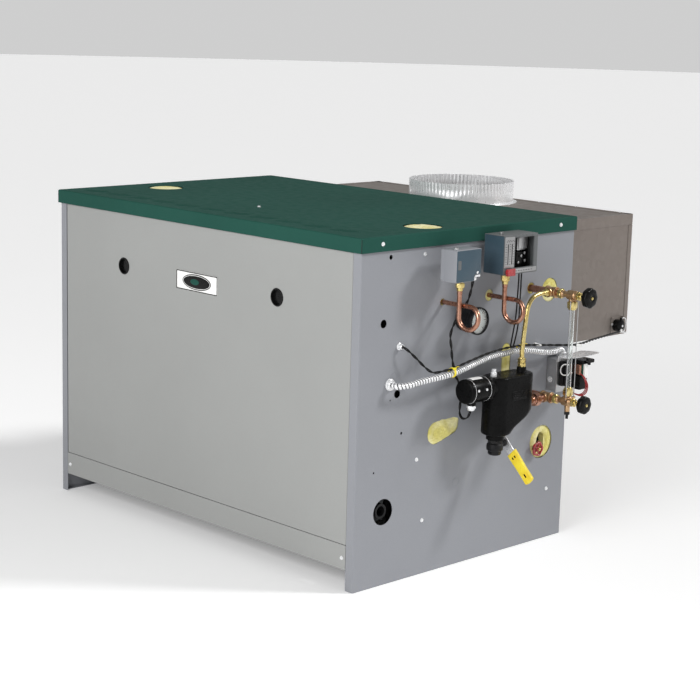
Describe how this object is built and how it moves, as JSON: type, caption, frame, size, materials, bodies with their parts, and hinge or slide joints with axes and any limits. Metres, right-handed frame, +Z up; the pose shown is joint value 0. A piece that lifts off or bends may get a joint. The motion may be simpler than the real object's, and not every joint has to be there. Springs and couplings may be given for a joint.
{
  "type": "gas-fired cast-iron steam boiler with burner assembly",
  "caption": "Gas-fired cast-iron steam boiler in a sheet-metal jacket, with tubular burners and gas train inside, rear draft hood and flue collar, and water trim on its right side.",
  "frame": {"origin": "on the floor under the centre of the jacket, on the underside of the base frame's middle rail", "axes": "+X to the trim side (right seen from the front), +Y to the flue side (rear), +Z up"},
  "size_m": [1.6228, 1.35, 1.034],
  "materials": {
    "jacket_green": "dark green enamel",
    "door_grey": "light warm grey enamel",
    "panel_grey": "blue-grey enamel",
    "galvanised": "galvanised sheet",
    "bright_zinc": "zinc plated",
    "cast_iron": "raw casting",
    "black_iron": "black painted casting",
    "dark_steel": "black painted steel",
    "steel": "plain steel",
    "brass": "machined brass",
    "bronze": "cast bronze",
    "copper": "drawn copper",
    "insulation": "mineral wool blanket",
    "liner_board": "insulating board",
    "clear_glass": "clear",
    "dial_white": "printed dial",
    "control_blue": "blue-grey cover",
    "control_grey": "grey cover",
    "red_part": "red",
    "black_plastic": "black",
    "yellow_vinyl": "yellow sleeve",
    "lead_sheath": "black lead sheath"
  },
  "bodies": {
    "boiler": {"base_frame": "dark_steel", "side_panel_left": "panel_grey", "side_panel_right": "panel_grey", "rear_panel": "galvanised", "jacket_lid": "jacket_green", "kick_panel": "door_grey", "sheet_screws": "bright_zinc", "top_insulation": "insulation", "side_insulation": "insulation", "section_left": "cast_iron", "section_right": "cast_iron", "sections_mid": "cast_iron", "push_nipples": "steel", "tie_rods": "steel", "flue_collector": "galvanised", "draft_hood": "galvanised", "flue_collar": "bright_zinc", "base_liner": "liner_board", "burner_tubes": "steel", "gas_manifold": "dark_steel", "gas_orifices": "brass", "gas_valve": "control_grey", "pilot_assembly": "steel", "gas_supply_pipe": "dark_steel", "limit_control_case": "control_blue", "pressure_control_case": "control_grey", "pressure_control_switch": "black_plastic", "siphons": "copper", "siphon_fittings": "brass", "gauge_case": "dark_steel", "gauge_dial": "dial_white", "gauge_lens": "clear_glass", "gauge_cocks": "brass", "gauge_glass": "clear_glass", "guard_rods": "bronze", "hookup_fittings": "bronze", "equalizing_tube": "brass", "cutoff_bowl": "black_iron", "cutoff_switch_housing": "dark_steel", "blowdown_valve": "black_iron", "drain_valve": "brass", "conduit": "bright_zinc", "control_leads": "lead_sheath", "panel_connectors": "bright_zinc", "junction_box": "galvanised", "relay_and_transformer": "steel", "spill_switch": "black_plastic"},
    "front_door": {"front_door": "door_grey", "badge_plate": "bright_zinc"},
    "gas_knob": {"gas_valve_knob": "black_plastic"},
    "limit_screw": {"limit_control_screw": "steel"},
    "pressure_screw": {"pressure_control_screw": "steel"},
    "reset_button": {"reset_button": "red_part"},
    "gauge_pointer": {"gauge_pointer": "black_plastic"},
    "upper_cock_wheel": {"cock_wheel_top": "black_plastic"},
    "lower_cock_wheel": {"cock_wheel_low": "black_plastic"},
    "float": {"cutoff_float": "steel"},
    "blowdown_handle": {"blowdown_lever": "bright_zinc", "lever_sleeve": "yellow_vinyl"},
    "drain_wheel": {"drain_wheel": "red_part"}
  },
  "joints": [
    {"name": "front_door_lift_off", "type": "slide", "parent": "boiler", "child": "front_door", "axis": [0, -1, 0], "range_m": [0, 0.3]},
    {"name": "gas_knob_turn", "type": "hinge", "parent": "boiler", "child": "gas_knob", "pos_m": [0.618, -0.34, 0.265], "axis": [0, 0, 1], "range_deg": [0, 180]},
    {"name": "limit_screw_turn", "type": "hinge", "parent": "boiler", "child": "limit_screw", "pos_m": [0.776, -0.168, 0.958], "axis": [0, 0, 1], "continuous": true},
    {"name": "pressure_screw_turn", "type": "hinge", "parent": "boiler", "child": "pressure_screw", "pos_m": [0.755, 0.044, 0.983], "axis": [0, 0, 1], "continuous": true},
    {"name": "reset_push", "type": "slide", "parent": "boiler", "child": "reset_button", "axis": [-1, 0, 0], "range_m": [0, 0.003], "stiffness_N_per_m": 400, "springref_m": -0.001},
    {"name": "pointer_sweep", "type": "hinge", "parent": "boiler", "child": "gauge_pointer", "pos_m": [0.75, -0.038, 0.737], "axis": [-1, 0, 0], "range_deg": [0, 270], "stiffness_Nm_per_rad": 0.001, "springref_deg": -17.19},
    {"name": "upper_cock_turn", "type": "hinge", "parent": "boiler", "child": "upper_cock_wheel", "pos_m": [0.912, 0.262, 0.795], "axis": [1, 0, 0], "range_deg": [0, 720]},
    {"name": "lower_cock_turn", "type": "hinge", "parent": "boiler", "child": "lower_cock_wheel", "pos_m": [0.912, 0.262, 0.478], "axis": [1, 0, 0], "range_deg": [0, 720]},
    {"name": "float_swing", "type": "hinge", "parent": "boiler", "child": "float", "pos_m": [0.772, 0.003, 0.543], "axis": [1, 0, 0], "range_deg": [-8, 12]},
    {"name": "blowdown_turn", "type": "hinge", "parent": "boiler", "child": "blowdown_handle", "pos_m": [0.772, 0.08, 0.367], "axis": [0, 1, 0], "range_deg": [-45, 45]},
    {"name": "drain_turn", "type": "hinge", "parent": "boiler", "child": "drain_wheel", "pos_m": [0.707, 0.31, 0.297], "axis": [1, 0, 0], "range_deg": [0, 720]}
  ]
}
